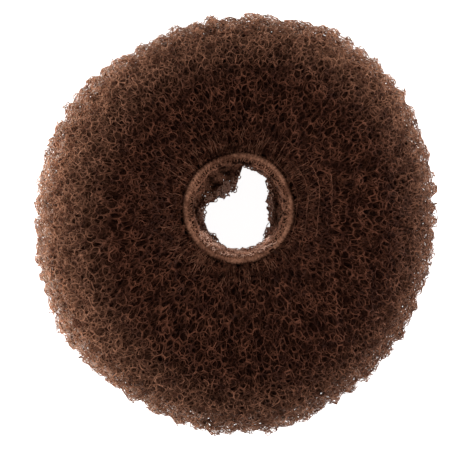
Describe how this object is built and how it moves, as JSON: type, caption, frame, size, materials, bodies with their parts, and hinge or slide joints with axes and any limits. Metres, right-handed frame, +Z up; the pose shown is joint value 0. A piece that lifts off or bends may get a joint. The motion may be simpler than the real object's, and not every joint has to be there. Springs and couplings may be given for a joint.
{
  "type": "hair donut bun maker",
  "caption": "Soft ring of brown nylon net, rolled up on itself round an open hole, over which hair is spread to shape a bun.",
  "frame": {"origin": "middle of the outline, on the plane that the ring rests on", "axes": "+Z up along the hole, +Y towards the side where the roll is thinner, which is the top of the picture"},
  "size_m": [0.09, 0.094, 0.034],
  "materials": {
    "cover_net": "brown knitted nylon net, soft sheen",
    "inner_net": "dark brown knitted nylon net, matte",
    "hem_band": "dense light brown nylon band, soft sheen",
    "tucked_net": "brown knitted nylon net with a ragged edge"
  },
  "bodies": {
    "root": {"net_cover": "cover_net", "net_roll": "inner_net", "hole_hem": "hem_band", "tucked_end": "tucked_net"}
  },
  "joints": []
}
